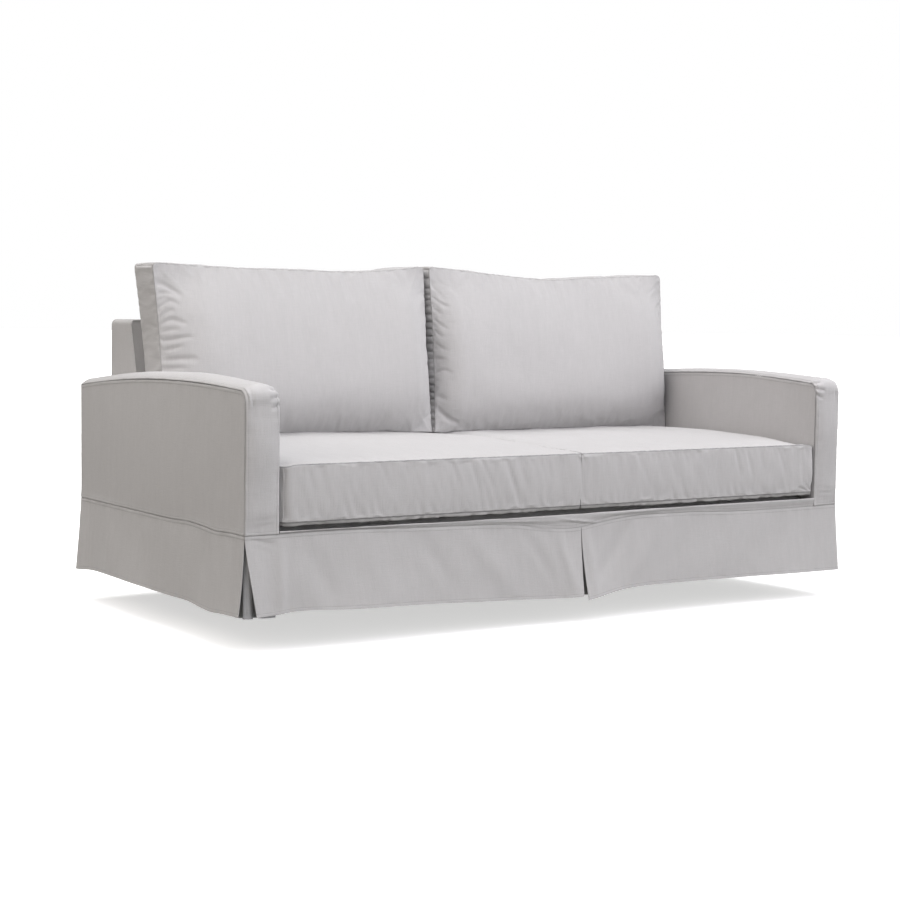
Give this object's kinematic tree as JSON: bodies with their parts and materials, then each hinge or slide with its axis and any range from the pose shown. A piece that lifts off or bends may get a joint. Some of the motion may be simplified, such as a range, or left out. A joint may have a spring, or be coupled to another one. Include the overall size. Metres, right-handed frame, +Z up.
{
  "type": "fitted sofa slipcover with its seat and back cushions",
  "caption": "Fitted cloth cover of a two-seat sofa with boxed arms and a pleated skirt, hollow and open below, with loose boxed seat and back cushions.",
  "frame": {"origin": "middle of the deck's underside in plan, half way between the arm fronts and the outside back: where the sofa's seat carries the cover; the floor lies 0.2955 m below it", "axes": "+X to the right seen from the front, along the seat; +Y from the arm fronts to the back; +Z up"},
  "size_m": [1.962, 1.0259, 0.8794],
  "materials": {
    "cover_cloth": "plain-woven light grey cotton, matt, with a slubby grain",
    "underlay_cloth": "the same plain-woven grey cotton behind the pleats, matt",
    "cushion_cloth": "plain-woven light grey cotton over soft filling, matt"
  },
  "bodies": {
    "root": {"arm_outer_left": "cover_cloth", "arm_outer_right": "cover_cloth", "arm_inner_left": "cover_cloth", "arm_inner_right": "cover_cloth", "arm_band_left": "cover_cloth", "arm_band_right": "cover_cloth", "back_outside": "cover_cloth", "back_band": "cover_cloth", "back_inside": "cover_cloth", "deck": "cover_cloth", "front_rail": "cover_cloth", "skirt_front_left": "cover_cloth", "skirt_front_right": "cover_cloth", "skirt_side_left": "cover_cloth", "skirt_side_right": "cover_cloth", "skirt_back": "cover_cloth", "pleat_underlay_front_left": "underlay_cloth", "pleat_underlay_front_right": "underlay_cloth", "pleat_underlay_back_left": "underlay_cloth", "pleat_underlay_back_right": "underlay_cloth", "pleat_underlay_centre": "underlay_cloth", "seat_cushion_left": "cushion_cloth", "seat_cushion_right": "cushion_cloth", "back_cushion_left": "cushion_cloth", "back_cushion_right": "cushion_cloth"}
  },
  "joints": []
}
